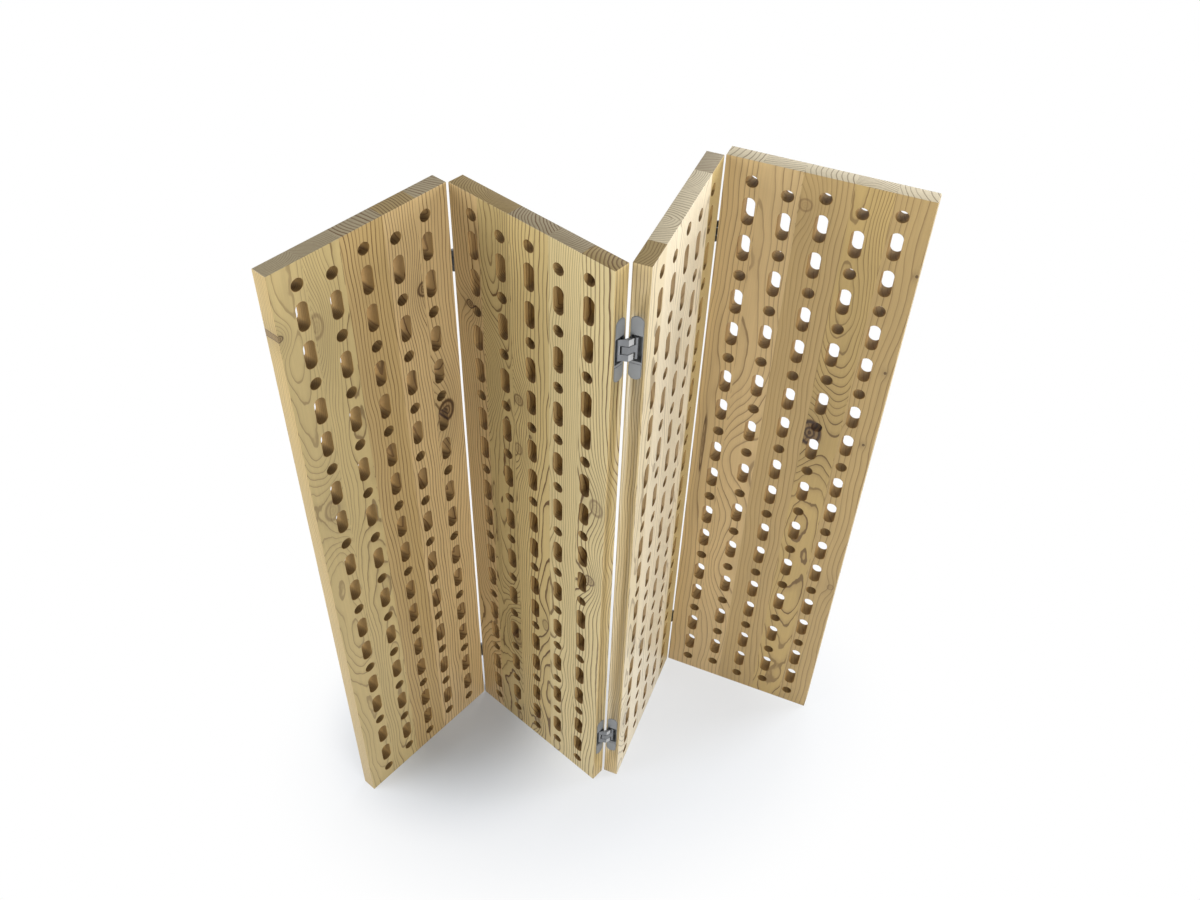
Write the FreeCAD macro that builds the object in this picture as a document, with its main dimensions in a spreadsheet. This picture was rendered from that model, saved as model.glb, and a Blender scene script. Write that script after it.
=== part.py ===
"""Folding room divider: four perforated timber panels that stand in a zigzag on concealed hinges.

Frame: millimetres, Z up, X along the run of the screen, the viewer's side towards -Y.
The origin is on the floor, at the centre of the footprint of the half-open screen.
"""
import FreeCAD, Part
import math
import os
import re
import Sketcher

# Driving sizes: alias, value, what it is
SIZES = (
    ("panel_width", 450.0, "width of one panel"),
    ("panel_height", 1800.0, "height of one panel"),
    ("panel_thickness", 40.0, "thickness of one panel"),
    ("outer_fold", 91.0, "degrees that the first and last fold stand away from flat"),
    ("middle_fold", 110.0, "degrees that the middle fold stands away from flat"),
    ("flat_gap", 8.0, "gap between two panel edges when the fold is flat"),
    ("stave_count", 5, "glued staves in a panel, each with one column of perforations"),
    ("glue_share_1", -0.85, "first glue line's place between two columns, -1 to 1"),
    ("glue_share_2", -0.58, "second glue line's place"),
    ("glue_share_3", 0.51, "third glue line's place"),
    ("glue_share_4", 0.68, "fourth glue line's place"),
    ("hole_diameter", 28.0, "round perforation, and the width of a slot"),
    ("slot_length", 68.0, "overall length of a slot"),
    ("column_margin", 63.0, "panel side to the centre of the nearest column"),
    ("odd_margin", 50.0, "panel end to the first hole's centre, odd columns"),
    ("odd_units", 7, "repeats of the odd columns' rhythm"),
    ("odd_slots", 2, "slots between two holes, odd columns"),
    ("even_margin", 65.0, "panel end to the first hole's centre, even columns"),
    ("even_units", 11, "repeats of the even columns' rhythm"),
    ("even_slots", 1, "slots between two holes, even columns"),
    ("hinge_height", 160.0, "overall height of a hinge flange"),
    ("hinge_width", 28.0, "width of a hinge flange"),
    ("hinge_margin", 3.5, "closing face of the panel to the flange"),
    ("hinge_distance", 200.0, "panel end to the hinge's centre"),
    ("mortise_clearance", 0.2, "wood to the sides of a housing"),
    ("floor_clearance", 0.5, "wood to the back of a housing's cup"),
    ("wing_depth", 7.0, "depth of the flange's wings in the wood"),
    ("housing_wall", 1.2, "side wall of the cup"),
    ("cup_floor", 2.0, "back wall of the cup"),
    ("end_wall", 4.0, "top and bottom wall of the cup, which hold the pivot pin"),
    ("pocket_height", 66.0, "clear height of the cup"),
    ("pocket_clearance", 0.5, "arms to the cup's walls"),
    ("arm_height", 54.0, "height of a pair of arms"),
    ("prong_height", 16.0, "height of each of the fork's prongs"),
    ("prong_gap", 2.0, "gap between the fork's prongs and the tongue"),
    ("prong_end_gap", 2.7, "gap at the end of a prong or tongue"),
    ("bridge_thickness", 5.5, "thickness of an arm where it leaves the cup"),
    ("shoulder_thickness", 2.0, "thickness of an arm at its elbow"),
    ("ridge_width", 0.8, "flat on the ridge between the two arms"),
    ("swing_clearance", 0.6, "arms over the panel edges, fully folded"),
    ("pin_diameter", 4.0, "pivot and centre pins"),
    ("pin_fit", 0.02, "radial clearance of a pin in its seat"),
    ("running_fit", 0.05, "radial clearance of a pin in the eye that turns on it"),
    ("eye_wall", 1.8, "metal around a pin"),
    ("boss_gap", 0.2, "arm to the boss above or below it"),
    ("cover_thickness", 1.6, "cover plate over the screws"),
    ("cover_rim", 1.0, "flange left standing around a cover plate"),
    ("cover_land", 6.0, "flange between the pocket and a cover plate"),
    ("cover_clearance", 0.2, "cover plate to its recess"),
    ("cover_proud", 0.8, "how far a cover plate stands out of the panel's edge"),
    ("screw_length", 35.0, "wood screw, over its countersunk head"),
    ("screw_head", 9.0, "diameter of the screw's head"),
    ("screw_shank", 4.5, "diameter of the screw's shank"),
    ("screw_tip", 5.0, "length of the screw's point"),
    ("screw_clearance", 0.05, "radial clearance around a screw"),
    ("overrun", 1.0, "how far a cut runs past the face that it opens"),
)

# Sizes worked out from the driving ones: alias, formula
DERIVED = (
    ("column_pitch", "(panel_width - 2 * column_margin) / (stave_count - 1)"),
    ("hole_radius", "hole_diameter / 2"),
    ("bridge_half", "(column_pitch - hole_diameter) / 2"),
    ("stave_edge_0", "0"),
    ("stave_edge_1", "column_margin + 0.5 * column_pitch + glue_share_1 * bridge_half"),
    ("stave_edge_2", "column_margin + 1.5 * column_pitch + glue_share_2 * bridge_half"),
    ("stave_edge_3", "column_margin + 2.5 * column_pitch + glue_share_3 * bridge_half"),
    ("stave_edge_4", "column_margin + 3.5 * column_pitch + glue_share_4 * bridge_half"),
    ("stave_edge_5", "panel_width"),
    ("odd_pitch", "(panel_height - 2 * odd_margin) / odd_units"),
    ("odd_gap", "(odd_pitch - hole_diameter - odd_slots * slot_length) / (odd_slots + 1)"),
    ("even_pitch", "(panel_height - 2 * even_margin) / even_units"),
    ("even_gap", "(even_pitch - hole_diameter - even_slots * slot_length) / (even_slots + 1)"),
    ("pin_radius", "pin_diameter / 2"),
    ("eye_radius", "pin_radius + eye_wall"),
    ("pin_offset", "hinge_margin + housing_wall + pocket_clearance + eye_radius"),
    ("pocket_outer", "hinge_margin + hinge_width - housing_wall"),
    ("bridge_top", "pocket_outer - pocket_clearance - pin_offset"),
    ("bridge_bottom", "bridge_top - bridge_thickness"),
    ("pin_depth", "bridge_bottom - swing_clearance"),
    ("shoulder_top", "bridge_bottom + shoulder_thickness"),
    ("half_span", "pin_depth + flat_gap / 2"),
    ("reach", "half_span - eye_radius - prong_end_gap"),
    ("ridge_slope", "(bridge_top - shoulder_top) / (reach - flat_gap / 2)"),
    ("ridge_top", "bridge_top + ridge_slope * (flat_gap - ridge_width) / 2"),
    ("centre_place", "ridge_top - eye_radius - eye_wall / 3"),
    ("tongue_height", "arm_height - 2 * (prong_height + prong_gap)"),
    ("pocket_depth", "pin_depth + eye_radius + pocket_clearance"),
    ("cup_depth", "pocket_depth + cup_floor"),
    ("cup_height", "pocket_height + 2 * end_wall"),
    ("flange_middle", "hinge_margin + hinge_width / 2"),
    ("flange_straight", "hinge_height - hinge_width"),
    ("cover_start", "pocket_height / 2 + cover_land"),
    ("screw_place", "(cup_height + hinge_height) / 4"),
    ("head_height", "(screw_head - screw_shank) / 2"),
)

PANEL_COUNT = 4
PANELS = range(1, PANEL_COUNT + 1)
FOLDS = range(1, PANEL_COUNT)
LEVELS = ("lower", "upper")
Z_AXIS = FreeCAD.Vector(0, 0, 1)
ALONG_X = FreeCAD.Rotation(FreeCAD.Vector(0, 1, 0), 90)
UPSIDE_DOWN = FreeCAD.Rotation(FreeCAD.Vector(1, 0, 0), 180)

doc = FreeCAD.newDocument("RoomDivider")
sheet = doc.addObject("Spreadsheet::Sheet", "Sizes")
sub_parts = []


def fill_sheet():
    """Write every size to the sheet, the driving ones as numbers and the others as formulas."""
    for row, (alias, value, note) in enumerate(SIZES, start=1):
        sheet.set(f"A{row}", note)
        sheet.set(f"B{row}", str(value))
        sheet.setAlias(f"B{row}", alias)
    for row, (alias, formula) in enumerate(DERIVED, start=len(SIZES) + 1):
        sheet.set(f"B{row}", "=" + formula)
        sheet.setAlias(f"B{row}", alias)
    doc.recompute()


def size(alias):
    """The present value of one cell."""
    return float(sheet.get(alias))


def bind(item, prop, formula):
    """Tie a property to a formula in the sheet's aliases."""
    item.setExpression(prop, re.sub(r"\b([a-z]\w+)", r"Sizes.\1", formula))


def place_by(item, x, y, z):
    """Tie a primitive's position to three formulas."""
    bind(item, "Placement.Base.x", x)
    bind(item, "Placement.Base.y", y)
    bind(item, "Placement.Base.z", z)


def box(name, spans):
    """A block from three pairs of formulas: where it starts and how far it goes along X, Y and Z."""
    item = doc.addObject("Part::Box", name)
    for prop, (_, extent) in zip(("Length", "Width", "Height"), spans):
        bind(item, prop, extent)
    place_by(item, *(start for start, _ in spans))
    return item


def cylinder(name, radius, height, x, y, z, turn=FreeCAD.Rotation()):
    """A cylinder that starts at the given place and runs along Z, or as turned."""
    item = doc.addObject("Part::Cylinder", name)
    item.Placement.Rotation = turn
    bind(item, "Radius", radius)
    bind(item, "Height", height)
    place_by(item, x, y, z)
    return item


def cone(name, first_radius, last_radius, height, x, y, z):
    """A cone along X."""
    item = doc.addObject("Part::Cone", name)
    item.Placement.Rotation = ALONG_X
    bind(item, "Radius1", first_radius)
    bind(item, "Radius2", last_radius)
    bind(item, "Height", height)
    place_by(item, x, y, z)
    return item


def fuse(name, *items):
    """Several solids as one."""
    item = doc.addObject("Part::MultiFuse", name)
    item.Shapes = list(items)
    item.Refine = True
    return item


def cut(name, base, *tools):
    """A solid less one or more tools."""
    item = doc.addObject("Part::Cut", name)
    item.Base = base
    item.Tool = tools[0] if len(tools) == 1 else group(name + "_tools", tools)
    return item


def group(name, items):
    """Separate solids kept together."""
    item = doc.addObject("Part::Compound", name)
    item.Links = list(items)
    return item


def copy_of(name, master, placement):
    """The master piece, set in another place."""
    item = group(name, [master])
    item.Placement = placement
    return item


def hand_in(item, label):
    """Name a finished sub-part and keep it for export."""
    item.Label = label
    sub_parts.append(item)


# Perforated staves


def plane_of(body, role):
    """One of a body's own origin planes."""
    return next(feature for feature in body.Origin.OriginFeatures if feature.Role == role)


def sketch_on(body, name, role):
    """A new sketch on one of the body's origin planes."""
    sketch = body.newObject("Sketcher::SketchObject", name)
    sketch.AttachmentSupport = (plane_of(body, role), [""])
    sketch.MapMode = "FlatFace"
    return sketch


def dimension(sketch, kind, references, formula):
    """Add a dimension to a sketch, tied to a formula."""
    index = sketch.addConstraint(Sketcher.Constraint(kind, *references, size("hole_radius")))
    bind(sketch, f"Constraints[{index}]", formula)


def locate(sketch, geometry, point, x, y):
    """Dimension a point of a sketch from the origin."""
    origin = (-1, 1)
    dimension(sketch, "DistanceX", (*origin, geometry, point), x)
    dimension(sketch, "DistanceY", (*origin, geometry, point), y)


def draw_rectangle(sketch, width, depth):
    """A rectangle with one corner on the origin."""
    far_x = FreeCAD.Vector(size("panel_thickness"), 0, 0)
    far_y = FreeCAD.Vector(0, size("panel_thickness"), 0)
    corners = (FreeCAD.Vector(), far_x, far_x + far_y, far_y)
    for start, end in zip(corners, corners[1:] + corners[:1]):
        sketch.addGeometry(Part.LineSegment(start, end), False)
    for side, next_side in ((0, 1), (1, 2), (2, 3), (3, 0)):
        sketch.addConstraint(Sketcher.Constraint("Coincident", side, 2, next_side, 1))
    for side, direction in enumerate(("Horizontal", "Vertical", "Horizontal", "Vertical")):
        sketch.addConstraint(Sketcher.Constraint(direction, side))
    sketch.addConstraint(Sketcher.Constraint("Coincident", 0, 1, -1, 1))
    locate(sketch, 1, 2, width, depth)


def draw_hole(sketch, x, z):
    """One round perforation."""
    circle = Part.Circle(FreeCAD.Vector(size("hole_radius"), 0, 0), Z_AXIS, size("hole_radius"))
    index = sketch.addGeometry(circle, False)
    dimension(sketch, "Radius", (index,), "hole_radius")
    locate(sketch, index, 3, x, z)


def draw_slot(sketch, x, low, high):
    """One long perforation, between the centres of its two round ends."""
    radius = size("hole_radius")
    start = FreeCAD.Vector(size("column_margin"), size("slot_length") * sketch.GeometryCount, 0)
    rise = FreeCAD.Vector(0, size("slot_length") - size("hole_diameter"), 0)
    side = FreeCAD.Vector(radius, 0, 0)
    top = sketch.addGeometry(Part.ArcOfCircle(Part.Circle(start + rise, Z_AXIS, radius), 0, math.pi))
    bottom = sketch.addGeometry(
        Part.ArcOfCircle(Part.Circle(start, Z_AXIS, radius), math.pi, 2 * math.pi))
    left = sketch.addGeometry(Part.LineSegment(start + rise - side, start - side))
    right = sketch.addGeometry(Part.LineSegment(start + side, start + rise + side))
    for arc, arc_end, line, line_end in ((top, 2, left, 1), (bottom, 1, left, 2),
                                         (bottom, 2, right, 1), (top, 1, right, 2)):
        sketch.addConstraint(Sketcher.Constraint("Tangent", arc, arc_end, line, line_end))
    for arc, height in ((top, high), (bottom, low)):
        dimension(sketch, "Radius", (arc,), "hole_radius")
        locate(sketch, arc, 3, x, height)


def pierce(body, sketch, name, length, count):
    """Cut a sketch right through the stave and repeat it upwards."""
    pocket = body.newObject("PartDesign::Pocket", name)
    pocket.Profile = sketch
    pocket.Type = "ThroughAll"
    pocket.Midplane = True
    doc.recompute()
    pattern = body.newObject("PartDesign::LinearPattern", name + "_column")
    pattern.Originals = [pocket]
    pattern.Direction = (sketch, ["V_Axis"])
    bind(pattern, "Length", length)
    bind(pattern, "Occurrences", count)
    body.Tip = pattern
    doc.recompute()


def make_stave(name, index):
    """One stave of a panel, with its column of holes and slots. Its corner is at the origin."""
    kind = "odd" if index % 2 else "even"
    start = f"stave_edge_{index - 1}"
    column = f"column_margin + {index - 1} * column_pitch - {start}"
    body = doc.addObject("PartDesign::Body", name)
    outline = sketch_on(body, name + "_outline", "XY_Plane")
    draw_rectangle(outline, f"stave_edge_{index} - {start}", "panel_thickness")
    pad = body.newObject("PartDesign::Pad", name + "_board")
    pad.Profile = outline
    bind(pad, "Length", "panel_height")
    doc.recompute()
    holes = sketch_on(body, name + "_hole", "XZ_Plane")
    draw_hole(holes, column, f"{kind}_margin")
    pierce(body, holes, name + "_holes", f"{kind}_units * {kind}_pitch", f"{kind}_units + 1")
    slots = sketch_on(body, name + "_slot", "XZ_Plane")
    for place in range(int(size(f"{kind}_slots"))):
        low = f"{kind}_margin + hole_diameter + (1 + {place}) * {kind}_gap + {place} * slot_length"
        draw_slot(slots, column, low, f"{low} + slot_length - hole_diameter")
    pierce(body, slots, name + "_slots", f"({kind}_units - 1) * {kind}_pitch", f"{kind}_units")
    return body


# Hinge pieces. X runs from the panel's edge into the wood, Y from the panel's closing face
# outwards, and Z is measured from the hinge's centre.


def round_ended(name, depth, grow):
    """The flange's outline, grown all round, from the panel's edge into the wood."""
    radius = f"hinge_width / 2 + {grow}"
    straight = box(name + "_straight", (("0", depth), (f"hinge_margin - {grow}", f"2 * ({radius})"),
                                        ("-flange_straight / 2", "flange_straight")))
    ends = [cylinder(f"{name}_end_{side}", radius, depth, "0", "flange_middle",
                     f"{sign}flange_straight / 2", ALONG_X)
            for side, sign in zip(LEVELS, ("-", ""))]
    return fuse(name, straight, *ends)


def cup(name, depth, grow):
    """The deep middle of the housing, grown all round."""
    return box(name, (("0", depth), (f"hinge_margin - {grow}", f"hinge_width + 2 * {grow}"),
                      (f"-cup_height / 2 - {grow}", f"cup_height + 2 * {grow}")))


def screw_bore(name, sign, start, length):
    """A straight hole for one wood screw."""
    return cylinder(name, "screw_shank / 2 + screw_clearance", length, start, "flange_middle",
                    f"{sign}screw_place", ALONG_X)


def cover_plate(name, sign, shrink, start, depth):
    """A cover plate's outline, shrunk all round: straight towards the cup and round at its end."""
    radius = f"hinge_width / 2 - cover_rim - {shrink}"
    length = f"flange_straight / 2 - cover_start - {shrink}"
    low = f"cover_start + {shrink}" if sign == "" else "-flange_straight / 2"
    straight = box(name + "_straight", ((start, depth), (f"flange_middle - ({radius})", f"2 * ({radius})"),
                                        (low, length)))
    end = cylinder(name + "_end", radius, depth, start, "flange_middle",
                   f"{sign}flange_straight / 2", ALONG_X)
    return fuse(name, straight, end)


def make_housing():
    """Cup and flange, with the pivot pin's bosses and bore, cover recesses and screw holes."""
    shell = cut("housing_shell",
                fuse("housing_block", round_ended("housing_flange", "wing_depth", "0"),
                     cup("housing_cup", "cup_depth", "0")),
                box("housing_pocket", (("-overrun", "pocket_depth + overrun"),
                                       ("hinge_margin + housing_wall", "hinge_width - 2 * housing_wall"),
                                       ("-pocket_height / 2", "pocket_height"))))
    boss_height = "(pocket_height - arm_height) / 2 - boss_gap"
    bosses = [cylinder("housing_boss_lower", "eye_radius", boss_height, "pin_depth", "pin_offset",
                       "-pocket_height / 2"),
              cylinder("housing_boss_upper", "eye_radius", boss_height, "pin_depth", "pin_offset",
                       "arm_height / 2 + boss_gap")]
    tools = [cylinder("housing_pin_bore", "pin_radius + pin_fit", "cup_height + 2 * overrun", "pin_depth",
                      "pin_offset", "-cup_height / 2 - overrun")]
    for side, sign in zip(LEVELS, ("-", "")):
        tools.append(fuse(
            "housing_opening_" + side,
            cover_plate("housing_recess_" + side, sign, "0", "-overrun", "cover_thickness + overrun"),
            cone("housing_sink_" + side, "screw_head / 2 + screw_clearance",
                 "screw_shank / 2 + screw_clearance", "head_height", "cover_thickness", "flange_middle",
                 f"{sign}screw_place"),
            screw_bore("housing_screw_bore_" + side, sign, "0", "wing_depth + overrun")))
    return cut("housing", fuse("housing_body", shell, *bosses), *tools)


def make_mortise():
    """The room that a housing and its screws take in the wood."""
    bores = [screw_bore("mortise_bore_" + side, sign, "0", "cover_thickness + screw_length")
             for side, sign in zip(LEVELS, ("-", ""))]
    opening = fuse("mortise_body", round_ended("mortise_flange", "wing_depth", "mortise_clearance"),
                   cup("mortise_cup", "cup_depth + floor_clearance", "mortise_clearance"), *bores)
    return opening


def make_covers():
    """The two cover plates of a housing."""
    plates = [cover_plate("cover_" + side, sign, "cover_clearance", "-cover_proud",
                          "cover_proud + cover_thickness")
              for side, sign in zip(LEVELS, ("-", ""))]
    return group("covers", plates)


def make_screws():
    """The two wood screws of a housing."""
    screws = []
    for side, sign in zip(LEVELS, ("-", "")):
        place = ("flange_middle", f"{sign}screw_place")
        head = cone("screw_head_" + side, "screw_head / 2", "screw_shank / 2", "head_height",
                    "cover_thickness", *place)
        shank = cylinder("screw_shank_" + side, "screw_shank / 2", "screw_length - head_height - screw_tip",
                         "cover_thickness + head_height", *place, ALONG_X)
        tip = cone("screw_tip_" + side, "screw_shank / 2", "0", "screw_tip",
                   "cover_thickness + screw_length - screw_tip", *place)
        screws.append(fuse("screw_" + side, head, shank, tip))
    return group("screws", screws)


def make_pivot_pin():
    """The pin that runs through a housing and the eye of its arm."""
    return cylinder("pivot_pin", "pin_radius", "cup_height", "pin_depth", "pin_offset", "-cup_height / 2")


# Arms of a hinge. X runs from the left pivot to the right one, with the middle at zero, Y outwards
# from the line of the pivots, and Z is measured from the hinge's centre.


def bridge(name, low, height):
    """The part of an arm that spans the fold: a bar with a ridge, and a boss for the centre pin."""
    bar = box(name + "_bar", (("-reach", "2 * reach"), ("bridge_bottom", "shoulder_thickness"),
                              (low, height)))
    ridge = doc.addObject("Part::Wedge", name + "_ridge")
    for prop, formula in (("Xmin", "-reach"), ("Xmax", "reach"), ("X2min", "-ridge_width / 2"),
                          ("X2max", "ridge_width / 2"), ("Ymin", "shoulder_top"), ("Ymax", "ridge_top"),
                          ("Zmin", low), ("Zmax", f"{low} + {height}"), ("Z2min", low),
                          ("Z2max", f"{low} + {height}")):
        bind(ridge, prop, formula)
    boss = cylinder(name + "_boss", "eye_radius", height, "0", "centre_place", low)
    return fuse(name, bar, ridge, boss)


def make_arm(name, sign, prongs):
    """One arm: an upright leg round its pivot pin, an elbow, and the prongs that span the fold."""
    low = "-arm_height / 2"
    pivot = f"{sign}half_span"
    elbow = "shoulder_top - eye_radius"
    eye = cylinder(name + "_eye", "eye_radius", "arm_height", pivot, "0", low)
    leg = box(name + "_leg", ((f"{pivot} - eye_radius", "2 * eye_radius"), ("0", elbow),
                              (low, "arm_height")))
    bend = cylinder(name + "_bend", "eye_radius", "arm_height", pivot, elbow, low)
    parts = [eye, leg, bend]
    for number, (start, height) in enumerate(prongs):
        parts.append(bridge(f"{name}_bridge_{number}", start, height))
        root = "-half_span" if sign == "-" else "reach"
        parts.append(box(f"{name}_root_{number}", ((root, "half_span - reach"),
                                                   ("bridge_bottom", "shoulder_thickness"),
                                                   (start, height))))
    pivot_bore = cylinder(name + "_pivot_bore", "pin_radius + running_fit", "arm_height + 2 * overrun",
                          pivot, "0", f"{low} - overrun")
    centre_bore = cylinder(name + "_centre_bore", "pin_radius + pin_fit", "arm_height + 2 * overrun",
                           "0", "centre_place", f"{low} - overrun")
    return cut(name, fuse(name + "_body", *parts), pivot_bore, centre_bore)


def make_fork_arm():
    """The arm with an upper and a lower prong, on the left pivot."""
    return make_arm("fork_arm", "-", (("-arm_height / 2", "prong_height"),
                                      ("arm_height / 2 - prong_height", "prong_height")))


def make_tongue_arm():
    """The arm with one middle prong, on the right pivot."""
    return make_arm("tongue_arm", "", (("-tongue_height / 2", "tongue_height"),))


def make_centre_pin():
    """The pin that locks the two arms together."""
    return cylinder("centre_pin", "pin_radius", "arm_height", "0", "centre_place", "-arm_height / 2")


# Plan of the half-open screen


def heading(angle):
    """A turn about the vertical."""
    return FreeCAD.Rotation(Z_AXIS, angle)


def closes_on_front(fold):
    """The first and last folds close on the viewer's side, the middle one at the back."""
    return fold != 2


def fold_angle(fold):
    """How far a fold stands away from flat."""
    return size("middle_fold") if fold == 2 else size("outer_fold")


def pin_place(fold, side):
    """Where a fold's pin stands in the panel on that side of it, from the panel's left front corner."""
    along = size("pin_depth")
    across = size("pin_offset")
    return FreeCAD.Vector(size("panel_width") - along if side == "left" else along,
                          across if closes_on_front(fold) else size("panel_thickness") - across, 0)


def plan():
    """Placements of the panels and of the folds' arms, walked from the left end of the screen."""
    angle = size("outer_fold") - size("middle_fold") / 2
    panels = {1: FreeCAD.Placement(FreeCAD.Vector(), heading(angle))}
    folds = {}
    for fold in FOLDS:
        way = -1 if closes_on_front(fold) else 1
        left_pin = panels[fold].multVec(pin_place(fold, "left"))
        link = heading(angle + way * fold_angle(fold) / 2)
        right_pin = left_pin + link.multVec(FreeCAD.Vector(2 * size("half_span"), 0, 0))
        angle += way * fold_angle(fold)
        corner = right_pin - heading(angle).multVec(pin_place(fold, "right"))
        panels[fold + 1] = FreeCAD.Placement(corner, heading(angle))
        outwards = link if closes_on_front(fold) else link * UPSIDE_DOWN
        folds[fold] = FreeCAD.Placement((left_pin + right_pin) / 2, outwards)
    footprint = FreeCAD.BoundBox()
    for panel in panels.values():
        for x in (0, size("panel_width")):
            for y in (0, size("panel_thickness")):
                footprint.add(panel.multVec(FreeCAD.Vector(x, y, 0)))
    shift = FreeCAD.Placement(-footprint.Center, FreeCAD.Rotation())
    return ({panel: shift * place for panel, place in panels.items()},
            {fold: shift * place for fold, place in folds.items()})


def edge_frame(fold, side, level):
    """A hinge's own axes in the panel on that side of the fold, from the panel's left front corner."""
    front = closes_on_front(fold)
    corner = FreeCAD.Vector(size("panel_width") if side == "left" else 0,
                            0 if front else size("panel_thickness"), level_height(level))
    turn = heading(180 if side == "left" else 0)
    if front == (side == "left"):
        turn = turn * UPSIDE_DOWN
    return FreeCAD.Placement(corner, turn)


def level_height(level):
    """Height of a hinge's centre above the floor."""
    return size("hinge_distance") if level == "lower" else size("panel_height") - size("hinge_distance")


def hinges_of(panel):
    """The fold, the panel's side of that fold, and the level of each hinge on a panel."""
    sides = ((panel - 1, "right"), (panel, "left"))
    return [(fold, side, level) for fold, side in sides if fold in FOLDS for level in LEVELS]


def add_staves(panel, place, mortise):
    """The five staves of a panel, with mortises in the edges that carry hinges."""
    for index in range(1, int(size("stave_count")) + 1):
        label = f"panel_{panel}_stave_{index}"
        stave = make_stave(label + "_body", index)
        start = FreeCAD.Placement(FreeCAD.Vector(size(f"stave_edge_{index - 1}"), 0, 0), FreeCAD.Rotation())
        edge_side = {1: "right", int(size("stave_count")): "left"}.get(index)
        tools = [copy_of(f"{label}_mortise_{level}", mortise, start.inverse() * edge_frame(fold, side, level))
                 for fold, side, level in hinges_of(panel) if side == edge_side]
        if tools:
            stave = cut(label, stave, *tools)
        stave.Placement = place * start
        hand_in(stave, label)


def add_hinge_pieces(panel, place, masters):
    """The housings of a panel, and its pivot pins, cover plates and screws in groups."""
    for fold, side, level in hinges_of(panel):
        label = f"fold_{fold}_{level}_{side}_housing"
        hand_in(copy_of(label, masters["housing"], place * edge_frame(fold, side, level)), label)
    for kind in ("pivot_pins", "hinge_covers", "hinge_screws"):
        label = f"panel_{panel}_{kind}"
        copies = [copy_of(f"{label}_{fold}_{level}", masters[kind], place * edge_frame(fold, side, level))
                  for fold, side, level in hinges_of(panel)]
        hand_in(group(label, copies), label)


def add_arms(fold, place, masters):
    """The two pairs of arms of a fold, with their centre pins."""
    pins = []
    for level in LEVELS:
        lift = FreeCAD.Placement(FreeCAD.Vector(0, 0, level_height(level)), FreeCAD.Rotation())
        for kind in ("fork_arm", "tongue_arm"):
            label = f"fold_{fold}_{level}_{kind}"
            hand_in(copy_of(label, masters[kind], lift * place), label)
        pins.append(copy_of(f"fold_{fold}_{level}_centre_pin", masters["centre_pin"], lift * place))
    label = f"fold_{fold}_centre_pins"
    hand_in(group(label, pins), label)


def check():
    """Stop if any object failed or any sub-part isn't a sound solid."""
    for item in doc.Objects:
        if "Invalid" in item.State or "Error" in item.State:
            raise RuntimeError(f"{item.Name} failed: {item.State}")
    for item in sub_parts:
        if item.Shape.isNull() or not item.Shape.isValid() or not item.Shape.Solids:
            raise RuntimeError(f"{item.Label} has no sound shape")
        if any(solid.Volume <= 0 for solid in item.Shape.Solids):
            raise RuntimeError(f"{item.Label} has an empty solid")


def export():
    """Write each sub-part to its own file."""
    os.makedirs("parts", exist_ok=True)
    for item in sub_parts:
        item.Shape.exportStep(os.path.join("parts", item.Label + ".step"))


def main():
    """Build the screen and write its sub-parts."""
    fill_sheet()
    masters = {
        "housing": make_housing(),
        "mortise": make_mortise(),
        "hinge_covers": make_covers(),
        "hinge_screws": make_screws(),
        "pivot_pins": make_pivot_pin(),
        "fork_arm": make_fork_arm(),
        "tongue_arm": make_tongue_arm(),
        "centre_pin": make_centre_pin(),
    }
    doc.recompute()
    panels, folds = plan()
    for panel in PANELS:
        add_staves(panel, panels[panel], masters["mortise"])
        add_hinge_pieces(panel, panels[panel], masters)
    for fold in FOLDS:
        add_arms(fold, folds[fold], masters)
    doc.recompute()
    check()
    export()


main()
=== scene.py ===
"""Looks of a folding room divider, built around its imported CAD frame.

Four perforated timber boards stand in a zigzag on concealed hinges.
Metres, Z up, X along the run of the screen, the viewer's side towards -Y.
"""
import math
from typing import NamedTuple

import bmesh
import bpy
from bpy.props import FloatProperty, FloatVectorProperty, IntProperty, PointerProperty
from mathutils import Matrix, Vector


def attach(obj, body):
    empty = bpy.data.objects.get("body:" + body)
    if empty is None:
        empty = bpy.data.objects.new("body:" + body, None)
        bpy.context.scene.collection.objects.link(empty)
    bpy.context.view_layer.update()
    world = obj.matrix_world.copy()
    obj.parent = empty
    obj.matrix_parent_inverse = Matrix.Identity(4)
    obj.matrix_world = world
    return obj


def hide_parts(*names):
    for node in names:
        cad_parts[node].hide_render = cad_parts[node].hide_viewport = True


bl_info = {
    "name": "Perforated Room Divider",
    "version": (1, 0, 0),
    "blender": (4, 5, 0),
    "location": "View3D > Sidebar > Divider",
    "description": "Boards, hinges and studio of a folding room divider",
    "category": "Add Mesh",
}

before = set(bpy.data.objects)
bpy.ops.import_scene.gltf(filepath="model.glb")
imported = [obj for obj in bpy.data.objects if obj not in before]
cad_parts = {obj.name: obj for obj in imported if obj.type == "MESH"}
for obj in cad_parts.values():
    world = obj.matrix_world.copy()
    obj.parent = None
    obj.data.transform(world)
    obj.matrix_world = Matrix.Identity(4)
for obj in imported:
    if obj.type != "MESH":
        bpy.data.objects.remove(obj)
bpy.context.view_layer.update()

PANELS = (1, 2, 3, 4)
FOLDS = (1, 2, 3)
LEVELS = ("lower", "upper")
STAVES = (1, 2, 3, 4, 5)
# How far each panel is turned from +X at rest, in degrees
HEADINGS = {1: 36.0, 2: -55.0, 3: 55.0, 4: -36.0}
MM = 0.001
MERGE_DISTANCE = 0.01 * MM
WHITE = (1, 1, 1, 1)
# Middle of a noise, and the zero of a place that is kept in a colour ramp
MIDDLE = 0.5


def srgb(red, green, blue):
    """A colour given as 0 to 255 screen values, as linear RGBA."""
    def linear(value):
        share = value / 255
        return share / 12.92 if share <= 0.04045 else ((share + 0.055) / 1.055) ** 2.4
    return (linear(red), linear(green), linear(blue), 1.0)


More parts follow.
